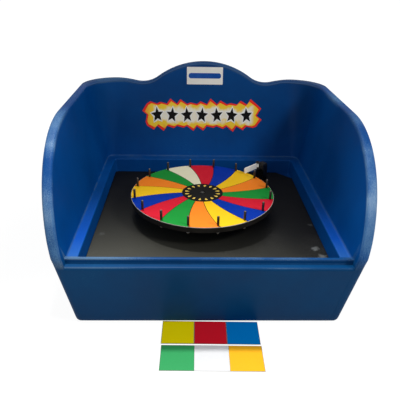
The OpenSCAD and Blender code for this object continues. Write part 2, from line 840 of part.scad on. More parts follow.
module flap() {
    root = pin_r - knuckle_d / 2 - 1;
    nip = 2.5;
    color("whitesmoke") at_clacker() difference() {
        union() {
            translate([0, flap_t / 2, 0]) rotate([90, 0, 0]) linear_extrude(flap_t) polygon([
                [flap_tip_r, flap_z + nip], [flap_tip_r + nip, flap_z], [root, flap_z],
                [root, knuckle_z], [pin_r, knuckle_z], [pin_r, flap_top],
                [flap_tip_r + nip, flap_top], [flap_tip_r, flap_top - nip]]);
            translate([pin_r, 0, knuckle_z]) cylinder(d = knuckle_d, h = flap_top - knuckle_z);
        }
        translate([pin_r, 0, flap_z - 1]) cylinder(r = pin_d / 2 + run_fit, h = flap_h + 2);
    }
}

pin_head_h = 2.6;
pin_nut_h = 3.2;
module flap_pin() {
    ear_top = flap_top + ear_gap + bracket_t;
    low = flap_z - ear_gap - bracket_t - pin_nut_h - 0.6;
    color("silver") at_clacker() translate([pin_r, 0, 0]) {
        translate([0, 0, low]) cylinder(d = pin_d, h = ear_top - low + 0.5);
        translate([0, 0, ear_top]) cylinder(d = pin_d * 1.9, h = pin_head_h);
    }
}

module flap_pin_nut() {
    color("silver") at_clacker() translate([pin_r, 0, flap_z - ear_gap - bracket_t - pin_nut_h])
        difference() {
            cylinder(d = pin_d * 1.75 / cos(30), h = pin_nut_h, $fn = 6);
            translate([0, 0, -1]) cylinder(r = pin_d / 2 + fit, h = pin_nut_h + 2);
        }
}

// Return spring: one wire wound round the pin under the knuckle, with a straight leg at each end
spring_steps = 24;
spring_leg = 2.6;
function spring_at(a) = [spring_r * cos(a), spring_r * sin(a), spring_z + spring_pitch * a / 360];
function spring_run(a) = let (t = [-spring_r * sin(a), spring_r * cos(a),
    spring_pitch * 180 / 360 / PI * 2]) t / norm(t);
spring_end = 360 * spring_turns;
spring_path = concat([spring_at(0) - spring_leg * spring_run(0)],
    [for (i = [0:spring_steps * spring_turns]) spring_at(i * 360 / spring_steps)],
    [spring_at(spring_end) + spring_leg * spring_run(spring_end)]);
function ring_of(i) = let (n = len(spring_path),
    a = spring_path[max(i - 1, 0)], b = spring_path[min(i + 1, n - 1)],
    t = (b - a) / norm(b - a), s = cross([0, 0, 1], t) / norm(cross([0, 0, 1], t)), u = cross(t, s))
    [for (j = [0:spring_sides - 1]) let (p = 360 * j / spring_sides)
        spring_path[i] + spring_wire / 2 * (cos(p) * s + sin(p) * u)];
spring_gap = min([for (i = [0:spring_steps]) norm(spring_at(i * 360 / spring_steps + 360)
    - spring_at(i * 360 / spring_steps))]) - spring_wire;
echo(spring_gap = spring_gap);

module flap_spring() {
    n = len(spring_path);
    m = spring_sides;
    points = [for (i = [0:n - 1]) each ring_of(i)];
    walls = [for (i = [0:n - 2], j = [0:m - 1])
        let (a = i * m + j, b = i * m + (j + 1) % m) each [[a, a + m, b], [b, a + m, b + m]]];
    caps = concat([for (j = [1:m - 2]) [0, j, j + 1]],
        [for (j = [1:m - 2]) [(n - 1) * m, (n - 1) * m + j + 1, (n - 1) * m + j]]);
    color("silver") at_clacker() translate([pin_r, 0, 0])
        polyhedron(points = points, faces = concat(walls, caps));
}

// Sign: layers of cut vinyl on the back wall, with a row of stars in a flame-edged panel.
// One side of the panel from a to b, with n flames of uneven height that lean the same way
function flames(a, b, n, reach, seed) = let (d = b - a, out = [d[1], -d[0]] / norm(d))
    [for (i = [0:n - 1]) each [a + d * i / n,
        a + d * (i + 0.66) / n + out * reach * (0.62 + 0.38 * sin(seed + 97 * i))]];

module flame_panel(inset, z0) {
    w = sign_w / 2 - flame_reach - inset;
    h = sign_h / 2 - flame_reach - inset;
    reach = flame_reach - inset * 0.8;
    on_back_wall() translate([sign_x, sign_up, z0]) linear_extrude(vinyl_t) polygon(concat(
        flames([-w, -h], [w, -h], flame_n, reach, 20), flames([w, -h], [w, h], flame_end_n, reach, 60),
        flames([w, h], [-w, h], flame_n, reach, 75), flames([-w, h], [-w, -h], flame_end_n, reach, 150)));
}

module sign_border() {
    color("crimson") flame_panel(0, 0);
}

module sign_panel() {
    color("gold") flame_panel(border_w, vinyl_t);
}

// A row of stars with the given reach of their tips and of the notches between these
module stars(tip, notch, z0) {
    on_back_wall() for (i = [0:star_n - 1])
        translate([sign_x + star_pitch * (i - (star_n - 1) / 2), sign_up, z0])
            linear_extrude(vinyl_t) polygon([for (k = [0:9])
                let (a = 90 + 36 * k + (i % 2 == 0 ? 6 : -6), r = k % 2 == 0 ? tip : notch)
                [r * cos(a), r * sin(a) * star_stretch]]);
}

module sign_star_edges() {
    color("white") stars(star_r * 1.15, star_r * 0.68, 2 * vinyl_t);
}

module sign_stars() {
    color([0.05, 0.05, 0.05]) stars(star_r * 0.95, star_r * 0.42, 3 * vinyl_t);
}

// Label: plain white sticker with a bare blue bar
module label() {
    color("white") on_back_wall() plate(-label_w / 2 + 2, label_w / 2 + 2, label_up - label_h / 2,
        label_up + label_h / 2, 0, vinyl_t, 2);
}

module label_bar() {
    w = label_w * 0.9;
    color("mediumblue") on_back_wall() plate(-w / 2 + 2, w / 2 + 2, label_up - label_bar_h / 2,
        label_up + label_bar_h / 2, vinyl_t, vinyl_t, label_bar_h * 0.45);
}

// Cards: two loose laminated strips of three colour squares each
module at_card(row) {
    translate([card_x, card_back_y - row * (square + card_gap), 0]) rotate([0, 0, card_turn])
        translate([0, -square, 0]) children();
}

module card_body(row) {
    at_card(row) box(-card_w / 2, card_w / 2, 0, square, 0, card_t);
}

module card_square(row, place) {
    at_card(row) box((place - 0.5) * square + ink_gap, (place + 0.5) * square - ink_gap,
        ink_gap, square - ink_gap, card_t, card_t + ink_t);
}

module front_card() {
    color("white") card_body(1);
}
module front_card_green() {
    color([0.3, 0.75, 0.45]) card_square(1, -1);
}
module front_card_amber() {
    color([1, 0.82, 0.18]) card_square(1, 1);
}
module back_card() {
    color("white") card_body(0);
}
module back_card_yellow() {
    color([0.75, 0.68, 0]) card_square(0, -1);
}
module back_card_red() {
    color([0.65, 0.07, 0.12]) card_square(0, 0);
}
module back_card_blue() {
    color([0, 0.36, 0.65]) card_square(0, 1);
}

tub();
floor_board();
base_flange();
flange_screws();
axle();
axle_washer();
axle_nut();
bearing_inner_rings();
bearing_outer_rings();
bearing_balls();
bearing_cages();
bearing_spacer();
wheel_hub();
hub_screws();
wheel_disc();
face_sheet();
line_film();
red_segments();
blue_segments();
yellow_segments();
orange_segments();
green_segments();
white_segment();
hub_film();
hub_drops();
peg_studs();
peg_sleeves();
peg_washers();
peg_nuts();
clacker_post();
post_screws();
flap_bracket();
bracket_screws();
flap();
flap_pin();
flap_pin_nut();
flap_spring();
sign_border();
sign_panel();
sign_star_edges();
sign_stars();
label();
label_bar();
front_card();
front_card_green();
front_card_amber();
back_card();
back_card_yellow();
back_card_red();
back_card_blue();
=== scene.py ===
import math

import bmesh
import bpy
import numpy as np
from mathutils import Matrix, Vector
from mathutils.kdtree import KDTree


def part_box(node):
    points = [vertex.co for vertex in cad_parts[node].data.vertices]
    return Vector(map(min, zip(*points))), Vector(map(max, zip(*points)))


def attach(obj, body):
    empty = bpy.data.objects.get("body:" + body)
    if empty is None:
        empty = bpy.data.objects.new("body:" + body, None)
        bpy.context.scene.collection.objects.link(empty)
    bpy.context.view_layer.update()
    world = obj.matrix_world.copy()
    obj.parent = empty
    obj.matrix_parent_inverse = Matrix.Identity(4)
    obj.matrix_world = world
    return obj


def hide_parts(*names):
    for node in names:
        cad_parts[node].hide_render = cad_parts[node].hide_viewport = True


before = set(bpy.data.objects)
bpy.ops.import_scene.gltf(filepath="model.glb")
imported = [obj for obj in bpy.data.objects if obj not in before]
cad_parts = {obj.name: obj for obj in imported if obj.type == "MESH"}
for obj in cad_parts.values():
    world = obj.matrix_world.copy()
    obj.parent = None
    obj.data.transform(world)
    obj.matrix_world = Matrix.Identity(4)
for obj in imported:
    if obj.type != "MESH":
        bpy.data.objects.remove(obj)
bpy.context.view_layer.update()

# Camera. The wheel game was photographed by a person standing in front of it, a little to the
# left, looking down at about 27 degrees with a slight tilt. The lens was worked out from the
# wheel's circle, the tub's straight edges and the square cards.
PICTURE_PIXELS, LENS_PIXELS, SENSOR_MM = 400, 476.98, 36
CAMERA_AT = Vector((-0.0508, -1.2344, 0.794))
turn, dip, tilt = (math.radians(a) for a in (1.595, 26.597, 1.101))
ahead = Vector((math.sin(turn) * math.cos(dip), math.cos(turn) * math.cos(dip), -math.sin(dip)))
level = Vector((math.cos(turn), -math.sin(turn), 0))
upward = level.cross(ahead)
across = math.cos(tilt) * level + math.sin(tilt) * upward
upright = math.cos(tilt) * upward - math.sin(tilt) * level
photo_camera = bpy.data.objects.new("photo_camera", bpy.data.cameras.new("photo_camera"))
bpy.context.collection.objects.link(photo_camera)
photo_camera.data.lens = LENS_PIXELS / PICTURE_PIXELS * SENSOR_MM
photo_camera.data.sensor_width = SENSOR_MM
photo_camera.data.clip_end = 60
view_axes = Matrix((across, upright, -ahead)).transposed().to_4x4()
view_axes.translation = CAMERA_AT
photo_camera.matrix_world = view_axes
bpy.context.scene.camera = photo_camera

# Tub: a hollow moulding in blue polyethylene, pulled from one mould, so every edge is rounded.
# Two wings and a crowned back stand on a low body with a ledge, a square recess and a lip.
# Sizes are in millimetres until the mesh is written. Every wall leans out by the same angle.
MM = 0.001
LEAN_DEGREES = 9.15
LEAN = math.tan(math.radians(LEAN_DEGREES))
SIDE, FRONT, BACK = 322.0, 321.0, 317.0
WING_WALL, BACK_WALL = 24.3, 28.0
WING_IN, BACK_IN = SIDE - WING_WALL, BACK - BACK_WALL
WING_TOP, LEDGE_Z, FLOOR_Z = 442.5, 185.6, 133.85
FOOT_R = 14.0
FOOT_TUCK = FOOT_R / math.cos(math.radians(LEAN_DEGREES)) - FOOT_R * LEAN
# The wall is unrolled along s: a wing, the corner's bend, then half of the back. The inside of
# the bend is rounded by MOUTH_R at the ledge, and by more the higher it is.
CORNER_R, CORNER_LEN = 30.0, 150.0
CORNER_START, CORNER_X = BACK - CORNER_R, SIDE - CORNER_R
CORNER_END = CORNER_START + CORNER_LEN
BACK_MIDDLE = CORNER_END + CORNER_X
STRAIGHT = 240
MOUTH_R, MOUTH_R_GROWTH, MOUTH_R_LEAST = 25, 0.3126, 6
# The back's rim has a crown, two dips and two shoulders. Each wing's rim falls in one long curve.
CROWN_R, CROWN_RISE, DIP_X, DIP_DROP, SHOULDER_X = 266, 55, 205, 10, 301
CURVE_CREST, CURVE_REACH, CURVE_Z, CURVE_START_Z = -14, 345, 150, 206
# The wall's edge is rounded. Along the rim the outer round is smaller and the inner one larger.
EDGE_OUT_R, EDGE_OUT_R_LESS, EDGE_IN_R, EDGE_IN_R_MORE = 13, 4.5, 0.6, 5
# The front of the body has a step, a groove behind it and a lip. The outer part of the step and the top of
# the lip are rubbed and carry a painted highlight.
STEP_Z, LIP_TOP, LIP_FRONT, LIP_BACK = 179, 191.0, -329.8, -318.8
STEP_R, STEP_TUCK, GROOVE_R, LIP_FRONT_R, LIP_BACK_R = 6, 6.08, 4, 3.5, 2
STEP_RUB_AND_HIGHLIGHT_BACK, RUB_AND_HIGHLIGHT_DEEP, RUB_AND_HIGHLIGHT_REACH = -345, 2.5, 330
RECESS_X, RECESS_FRONT, RECESS_BACK, RECESS_R = 293.6, -310.8, 282.4, 8
RECESS_FLOOR_R, RECESS_EDGE_R, RECESS_CUT_TOP = 3, 4, 230
COVE_R, COVE_START = 6, -318
# Solids that are joined reach this far into each other.
BODY_OVERLAP, COVE_OVERLAP = 0.3, 1


def arc(y, z, r, start, end, count):
    """Points on a circle round (y, z), from one angle to another in degrees."""
    return [(y + r * math.cos(a), z + r * math.sin(a)) for a in np.radians(np.linspace(start, end, count))]


def wall_point(s, z, w):
    """A point in the wall: s along it from the left wing round the back, w from 0 inside to 1 outside."""
    right = s > BACK_MIDDLE
    s = np.where(right, 2 * BACK_MIDDLE - s, s)
    u = BACK_MIDDLE - s
    lean = z * LEAN
    mouth_r = np.maximum(MOUTH_R + (z - LEDGE_Z) * MOUTH_R_GROWTH, MOUTH_R_LEAST)
    in_side, in_back = s < CORNER_START, s > CORNER_END
    phi = np.clip((s - CORNER_START) / CORNER_LEN, 0, 1) * math.pi / 2
    along_side = np.clip((s - STRAIGHT) / (CORNER_START - STRAIGHT), 0, 1)
    along_back = np.clip((u - STRAIGHT) / (CORNER_X - STRAIGHT), 0, 1)
    faces = []
    for side, back, r in ((WING_IN, BACK_IN, mouth_r), (SIDE, BACK, CORNER_R + lean)):
        side, back = side + lean, back + lean
        y_side = np.where(s < STRAIGHT, s, STRAIGHT + along_side * (back - r - STRAIGHT))
        x_back = np.where(u < STRAIGHT, u, STRAIGHT + along_back * (side - r - STRAIGHT))
        x = np.where(in_side, side, np.where(in_back, x_back, side - r + r * np.cos(phi)))
        y = np.where(in_side, y_side, np.where(in_back, back, back - r + r * np.sin(phi)))
        faces.append((-x, y))
    (xi, yi), (xo, yo) = faces
    x = xi + w * (xo - xi)
    return np.stack([np.where(right, -x, x), yi + w * (yo - yi), z + 0 * x], -1)


def crown_height(x):
    """Height of the back wall's rim: a crown, a dip on each side and a shoulder, as three arcs."""
    x = np.minimum(np.abs(x), SHOULDER_X)
    crown_z, dip_z = WING_TOP + CROWN_RISE - CROWN_R, WING_TOP - DIP_DROP
    fall, out = dip_z - crown_z, SHOULDER_X - DIP_X
    dip_r = (DIP_X ** 2 + fall ** 2 - CROWN_R ** 2) / (2 * (CROWN_R - fall))
    crown_end = CROWN_R * DIP_X / (CROWN_R + dip_r)
    shoulder_r = (out ** 2 + DIP_DROP ** 2) / (2 * DIP_DROP) - dip_r
    dip_end = DIP_X + dip_r * out / (dip_r + shoulder_r)
    crown = crown_z + np.sqrt(np.maximum(CROWN_R ** 2 - x ** 2, 0))
    hollow = dip_z + dip_r - np.sqrt(np.maximum(dip_r ** 2 - (x - DIP_X) ** 2, 0))
    shoulder = WING_TOP - shoulder_r + np.sqrt(shoulder_r ** 2 - (SHOULDER_X - x) ** 2)
    return np.where(x < crown_end, crown, np.where(x < dip_end, hollow, shoulder))


def half_of_wall_outline():
    """The wall's outline unrolled, from its front end to the middle of the back: rim and foot."""
    rim = [(-(FRONT + z * LEAN), z) for z in np.linspace(100, 201, 12)]
    rise = WING_TOP - CURVE_Z
    start = math.degrees(math.acos((CURVE_START_Z - CURVE_Z) / rise))
    for a in np.radians(np.linspace(start, 2, 34)):
        rim.append((CURVE_CREST - CURVE_REACH * math.sin(a), CURVE_Z + rise * math.cos(a)))
    run = list(np.linspace(CURVE_CREST, STRAIGHT - 4, 9))
    run += list(np.linspace(STRAIGHT + 2, CORNER_START, 4))
    run += list(np.linspace(CORNER_START + 8, CORNER_END, 15))
    run += list(np.linspace(CORNER_END + 8, BACK_MIDDLE, 52))
    for s in run:
        u = BACK_MIDDLE - s
        rim.append((s, float(crown_height(u)) if u < SHOULDER_X else WING_TOP))
    foot = [(-(FRONT + z * LEAN), z) for z in (98, 80, 50, 20)]
    foot += arc(-FRONT + FOOT_TUCK, FOOT_R, FOOT_R, 180 + LEAN_DEGREES, 270, 8)
    foot += [(s, 0.0) for s in np.linspace(-300, -24, len(rim) - len(run) - len(foot))]
    foot += [(s, 0.0) for s in run]
    return rim, foot


def edge_rings(z, thick, is_rim):
    """Rings round the wall's edge: how far each lies in from the outline and from the outer face."""
    outer_r = EDGE_OUT_R - np.where(is_rim, EDGE_OUT_R_LESS * np.clip((z - 180) / 60, 0, 1), 0)
    inner_r = EDGE_IN_R + np.where(is_rim, EDGE_IN_R_MORE * np.clip((z - 181) / 22, 0, 1), 0)
    rings = []
    for q in np.radians(np.arange(0, 91, 15)):
        rings.append((outer_r * (1 - math.sin(q)), outer_r * (1 - math.cos(q))))
    for q in np.radians(np.arange(0, 91, 18)):
        rings.append((inner_r * (1 - math.cos(q)), thick - inner_r * (1 - math.sin(q))))
    return rings


def rub_and_highlight_on_ring(k, near, z, is_rim):
    """How much rub and painted highlight ring k of the edge gets: most on the crests of the wings, more the
    higher they are, and inside the back, whose inner edge gets a painted highlight line.
    """
    wing = np.clip((CORNER_START - near) / 120, 0, 1) * np.clip((z - 175) / 45, 0, 1)
    # Painted highlight: a wing's rim is marked more the higher it is.
    wing *= 0.6 + 0.4 * np.clip((z - 220) / 120, 0, 1)
    on_wing = 0.3 + 0.55 * wing if k < 3 else 0.8 + 0.2 * wing if k < 9 else 0.3 + 0.7 * wing
    on_back = 0.3 if k < 3 else 0.55 if k < 11 else 0.95
    return np.where(is_rim & (z > 175), np.where(near > CORNER_START, on_back, on_wing), 0.0)


def slab_mesh():
    """The whole wall as one closed, pillow-edged slab, with the points of its edge and their rub and painted
    highlight.
    """
    rim, foot = half_of_wall_outline()
    rim += [(2 * BACK_MIDDLE - s, z) for s, z in reversed(rim[:-1])]
    foot += [(2 * BACK_MIDDLE - s, z) for s, z in reversed(foot[:-1])]
    n = len(rim)
    count = 2 * n
    loop = np.array(rim + foot[::-1])
    run = np.roll(loop, -1, 0) - np.roll(loop, 1, 0)
    inward = np.stack([run[:, 1], -run[:, 0]], 1) / np.linalg.norm(run, axis=1)[:, None]
    s, z = loop.T
    near = np.where(s > BACK_MIDDLE, 2 * BACK_MIDDLE - s, s)
    thick = np.interp(near, [CORNER_START, CORNER_END], [WING_WALL, BACK_WALL])
    is_rim = np.arange(count) < n
    rings = edge_rings(z, thick, is_rim)
    last = len(rings) - 1
    edge = []
    for inset, depth in rings:
        p = loop + inward * inset[:, None]
        edge.append(wall_point(p[:, 0], p[:, 1], 1 - depth / thick))
    edge = np.array(edge).reshape(-1, 3)
    rub_and_highlight_amount = np.array([rub_and_highlight_on_ring(k, near, z, is_rim) for k in range(last + 1)]).reshape(-1)
    verts = list(edge)
    faces = [(k * count + i, k * count + (i + 1) % count, (k + 1) * count + (i + 1) % count,
              (k + 1) * count + i) for k in range(last) for i in range(count)]
    for k, w in ((0, 1.0), (last, 0.0)):
        q = loop + inward * rings[k][0][:, None]
        top, bottom = q[:n], q[n:][::-1]
        rows = [[k * count + i for i in range(n)]]
        for t in (0.015, 0.3, 0.65, 0.985):
            between = top + (bottom - top) * t
            rows.append([len(verts) + i for i in range(n)])
            verts += list(wall_point(between[:, 0], between[:, 1], w))
        rows.append([(k + 1) * count - 1 - i for i in range(n)])
        for upper, lower in zip(rows, rows[1:]):
            faces += [(upper[i], upper[i + 1], lower[i + 1], lower[i]) for i in range(n - 1)]
        faces += [tuple(row[end] for row in rows) for end in (0, n - 1)]
    return verts, faces, edge, rub_and_highlight_amount


def stacked(rows):
    """A closed solid from rows that all have the same number of points."""
    k, last = len(rows[0]), len(rows) - 1
    faces = [(r * k + i, r * k + (i + 1) % k, (r + 1) * k + (i + 1) % k, (r + 1) * k + i)
             for r in range(last) for i in range(k)]
    ends = [tuple(range(k)), tuple(range((last + 1) * k - 1, last * k - 1, -1))]
    return [point for row in rows for point in row], faces + ends


def body_mesh():
    """The low body between the wings, drawn as one section of foot, front, lip and ledge."""
    step_y, step_low = -(FRONT + (STEP_Z - STEP_R) * LEAN) + STEP_TUCK, STEP_Z - STEP_R
    section = arc(-FRONT + FOOT_TUCK, FOOT_R, FOOT_R, 270, 180 + LEAN_DEGREES, 9)
    section += [(-(FRONT + z * LEAN), z) for z in (26, 100, 168)]
    section += arc(step_y, step_low, STEP_R, 180 + LEAN_DEGREES, 90, 8)
    section += arc(LIP_FRONT - GROOVE_R, STEP_Z + GROOVE_R, GROOVE_R, 270, 360, 5)
    section += arc(LIP_FRONT + LIP_FRONT_R, LIP_TOP - LIP_FRONT_R, LIP_FRONT_R, 180, 90, 6)
    section += arc(LIP_BACK - LIP_BACK_R, LIP_TOP - LIP_BACK_R, LIP_BACK_R, 90, 0, 4)
    back = BACK_IN + BODY_OVERLAP
    section += [(LIP_BACK, LEDGE_Z), (back + LEDGE_Z * LEAN, LEDGE_Z), (back, 0)]
    half_width = WING_IN + BODY_OVERLAP
    return stacked([[(side * (half_width + z * LEAN), y, z) for y, z in section] for side in (-1, 1)])


def recess_mesh():
    """The square recess with rounded corners and softened edges, to be cut out of the body."""
    corners = [(RECESS_X, RECESS_BACK, 0), (-RECESS_X, RECESS_BACK, 90),
               (-RECESS_X, RECESS_FRONT, 180), (RECESS_X, RECESS_FRONT, 270)]
    plan = [(x, y, math.radians(start + a)) for x, y, start in corners for a in np.linspace(0, 90, 7)]
    levels = [(-RECESS_FLOOR_R * (1 - math.sin(q)), FLOOR_Z + RECESS_FLOOR_R * (1 - math.cos(q)), 0)
              for q in np.radians([0, 30, 60, 90])]
    for q in np.radians([0, 22, 45, 68, 90]):
        z = LEDGE_Z - RECESS_EDGE_R * (1 - math.sin(q))
        levels.append((RECESS_EDGE_R * (1 - math.cos(q)), z, LIP_TOP - LEDGE_Z))
    levels += [(RECESS_EDGE_R, RECESS_CUT_TOP, 0)]
    rows = []
    for out, z, lift in levels:
        row = []
        for x, y, a in plan:
            # The front edge is higher than the other three, as it is cut out of the lip.
            front = min(max((y / RECESS_FRONT) * -math.sin(a), 0), 1) if y < 0 else 0
            r = RECESS_R + out
            row.append((x + r * math.cos(a), y + r * math.sin(a), z + lift * front ** 0.5))
        rows.append(row)
    return stacked(rows)


def cove_mesh():
    """The soft inside corner where the walls meet the ledge."""
    section = [(-COVE_OVERLAP, COVE_R), (0, COVE_R)]
    section += [(COVE_R - COVE_R * math.sin(q), COVE_R - COVE_R * math.cos(q))
                for q in np.radians([75, 60, 45, 30, 15])]
    section += [(COVE_R, 0), (COVE_R, -COVE_OVERLAP), (-COVE_OVERLAP, -COVE_OVERLAP)]
    half = list(np.linspace(COVE_START, STRAIGHT - 4, 8)) + list(np.linspace(STRAIGHT, CORNER_START, 4))
    half += list(np.linspace(CORNER_START, CORNER_END, 16))[1:]
    half += list(np.linspace(CORNER_END + 10, BACK_MIDDLE, 10))
    run = np.array(half + [2 * BACK_MIDDLE - s for s in reversed(half[:-1])])
    verts = []
    for away, up in section:
        verts += list(wall_point(run, LEDGE_Z + up + 0 * run, -away / WING_WALL + 0 * run))
    m, k = len(run), len(section)
    faces = [(j * m + i, j * m + i + 1, ((j + 1) % k) * m + i + 1, ((j + 1) % k) * m + i)
             for j in range(k) for i in range(m - 1)]
    return verts, faces + [tuple(j * m for j in range(k)), tuple(j * m + m - 1 for j in range(k))]


def solid_from(name, verts, faces):
    """A closed mesh object from points in millimetres, with its faces turned outwards."""
    mesh = bpy.data.meshes.new(name)
    mesh.from_pydata([tuple(float(c) * MM for c in v) for v in verts], [], faces)
    shaped = bmesh.new()
    shaped.from_mesh(mesh)
    bmesh.ops.remove_doubles(shaped, verts=shaped.verts, dist=1e-6)
    bmesh.ops.recalc_face_normals(shaped, faces=shaped.faces)
    shaped.to_mesh(mesh)
    shaped.free()
    made = bpy.data.objects.new(name, mesh)
    bpy.context.collection.objects.link(made)
    return made


def combined(first, other, how):
    """Join or cut two closed solids and keep the first one."""
    join = first.modifiers.new("join", "BOOLEAN")
    join.operation, join.solver, join.object = how, "MANIFOLD", other
    bpy.context.view_layer.update()
    result = bpy.data.meshes.new_from_object(first.evaluated_get(bpy.context.evaluated_depsgraph_get()))
    first.modifiers.clear()
    first.data = result
    bpy.data.objects.remove(other)
    return first


def smoothed(piece, angle):
    """Shade a piece smoothly, with hard edges where its faces meet at more than the angle."""
    piece.data.shade_smooth()
    piece.data.set_sharp_from_angle(angle=math.radians(angle))
    return piece


slab_verts, slab_faces, edge_points, edge_rub_and_highlight = slab_mesh()
tub_body = combined(solid_from("tub_body", *body_mesh()), solid_from("recess", *recess_mesh()), "DIFFERENCE")
tub_body = combined(tub_body, solid_from("cove", *cove_mesh()), "UNION")
tub_shell = combined(solid_from("tub_shell", slab_verts, slab_faces), tub_body, "UNION")
smoothed(tub_shell, 38)
# Each point of the shell is marked with how much hands and cards have rubbed it there, and how much painted
# highlight its edges and lip get.
edge_tree = KDTree(len(edge_points))
for i, p in enumerate(edge_points):
    edge_tree.insert(Vector(p) * MM, i)
edge_tree.balance()
rub_and_highlight = tub_shell.data.attributes.new("rub_and_highlight", "FLOAT", "POINT")
for v in tub_shell.data.vertices:
    x, y, z = v.co / MM
    _, i, away = edge_tree.find(v.co)
    on_lip = z > LIP_TOP - RUB_AND_HIGHLIGHT_DEEP and y < LIP_BACK + 0.3 and abs(x) < RUB_AND_HIGHLIGHT_REACH
    on_step = STEP_Z - RUB_AND_HIGHLIGHT_DEEP < z < STEP_Z + 1 and y < STEP_RUB_AND_HIGHLIGHT_BACK and abs(x) < RUB_AND_HIGHLIGHT_REACH
    rub_and_highlight_here = 0.8 if on_lip else 0.45 if on_step else 0.0
    rub_and_highlight.data[v.index].value = max(rub_and_highlight_here, edge_rub_and_highlight[i] if away < 0.6 * MM else 0.0)


def shader_node(tree, kind, sockets=None, **settings):
    """One shader or geometry node, with its settings, fixed socket values and incoming links."""
    made = tree.nodes.new(kind)
    for key, value in settings.items():
        setattr(made, key, value)
    for key, value in (sockets or {}).items():
        if isinstance(value, bpy.types.NodeSocket):
            tree.links.new(value, made.inputs[key])
        else:
            made.inputs[key].default_value = value
    return made


def own_place(tree):
    """Where a point lies in its object's own coordinates, in metres."""
    return shader_node(tree, "ShaderNodeTexCoord").outputs["Object"]


def noise(tree, place, scale, detail, rough=0.5, bend=0.0):
    """Soft random values round one half."""
    sockets = {"Vector": place, "Scale": scale, "Detail": detail, "Roughness": rough, "Distortion": bend}
    return shader_node(tree, "ShaderNodeTexNoise", sockets).outputs["Fac"]


def maths(tree, operation, *values):
    """The result of one sum; the values are sockets or numbers."""
    return shader_node(tree, "ShaderNodeMath", dict(enumerate(values)), operation=operation).outputs[0]


def both(tree, a, b, operation="MULTIPLY"):
    """Two masks or lengths as one."""
    return maths(tree, operation, a, b)


def vector_maths(tree, operation, *values):
    """The node of one sum with vectors."""
    return shader_node(tree, "ShaderNodeVectorMath", dict(enumerate(values)), operation=operation)


def ranged(tree, value, low, high, at_low=0.0, at_high=1.0):
    """A value read on a scale from low to high, which keeps its end results beyond the ends."""
    sockets = {"Value": value, "From Min": low, "From Max": high, "To Min": at_low, "To Max": at_high}
    return shader_node(tree, "ShaderNodeMapRange", sockets).outputs["Result"]


def past(tree, length, edge, soft=0.6):
    """1 where a length is past an edge, 0 before it; edge and soft step are in millimetres."""
    return ranged(tree, length, (edge - soft) * MM, (edge + soft) * MM)


def mixed(tree, factor, a, b):
    """A colour mix; factor, a and b are sockets or values."""
    return shader_node(tree, "ShaderNodeMix", {0: factor, 6: a, 7: b}, data_type="RGBA").outputs[2]


def placed_group(tree, group, sockets):
    """One of the shared effects as a node of a finish."""
    return shader_node(tree, "ShaderNodeGroup", sockets, node_tree=group)


def grained(tree, skin, height, strength, distance):
    """Raise a finish by a height, as fine grain does."""
    bump = shader_node(tree, "ShaderNodeBump", {"Height": height, "Strength": strength, "Distance": distance})
    tree.links.new(bump.outputs["Normal"], skin.inputs["Normal"])


def effect_group(name, inputs, outputs):
    """An empty shader node group with named sockets: (name, kind, default)."""
    tree = bpy.data.node_groups.new(name, "ShaderNodeTree")
    for label, kind, value in inputs:
        socket = tree.interface.new_socket(label, in_out="INPUT", socket_type="NodeSocket" + kind)
        socket.default_value = value
    for label, kind in outputs:
        tree.interface.new_socket(label, in_out="OUTPUT", socket_type="NodeSocket" + kind)
    return tree, tree.nodes.new("NodeGroupInput").outputs, tree.nodes.new("NodeGroupOutput").inputs


def finish_shader(name):
    """A new material with its node tree and its surface shader."""
    material = bpy.data.materials.new(name)
    material.use_nodes = True
    return material, material.node_tree, material.node_tree.nodes["Principled BSDF"]


# cloudy: a slow drift between two colours, as in a moulded, painted or printed surface
WHITE = (1, 1, 1, 1)
cloudy, given, result = effect_group("cloudy", [("Colour", "Color", WHITE), ("Pale", "Color", WHITE),
                                                ("Scale", "Float", 8.0), ("Amount", "Float", 0.3)],
                                     [("Colour", "Color"), ("Mask", "Float")])
drift = ranged(cloudy, noise(cloudy, own_place(cloudy), given["Scale"], 5.0, 0.62), 0.36, 0.68)
drift_share = both(cloudy, drift, given["Amount"])
cloudy.links.new(mixed(cloudy, drift_share, given["Colour"], given["Pale"]), result["Colour"])
cloudy.links.new(drift, result["Mask"])

# scuffed: fine scratches and specks that handling leaves, as a mask from 0 to 1. The tub's painted glints use
# the same specks.
scuffed, given, result = effect_group("scuffed", [("Scale", "Float", 60.0), ("Reach", "Float", 0.5)],
                                      [("Mask", "Float")])
place = own_place(scuffed)
drawn_out = shader_node(scuffed, "ShaderNodeMapping", {"Vector": place, "Rotation": (0.3, 0.5, 0.7),
                                                       "Scale": (1.0, 3.2, 1.6)}).outputs["Vector"]
specks = noise(scuffed, drawn_out, given["Scale"], 8.0, 0.75, 0.6)
patchy = both(scuffed, specks, noise(scuffed, place, 5.0, 3.0))
over = both(scuffed, patchy, ranged(scuffed, given["Reach"], 0.0, 1.0, 0.42, 0.2), "SUBTRACT")
sharp = shader_node(scuffed, "ShaderNodeMath", {0: over, 1: 14.0}, operation="MULTIPLY", use_clamp=True)
scuffed.links.new(sharp.outputs[0], result["Mask"])

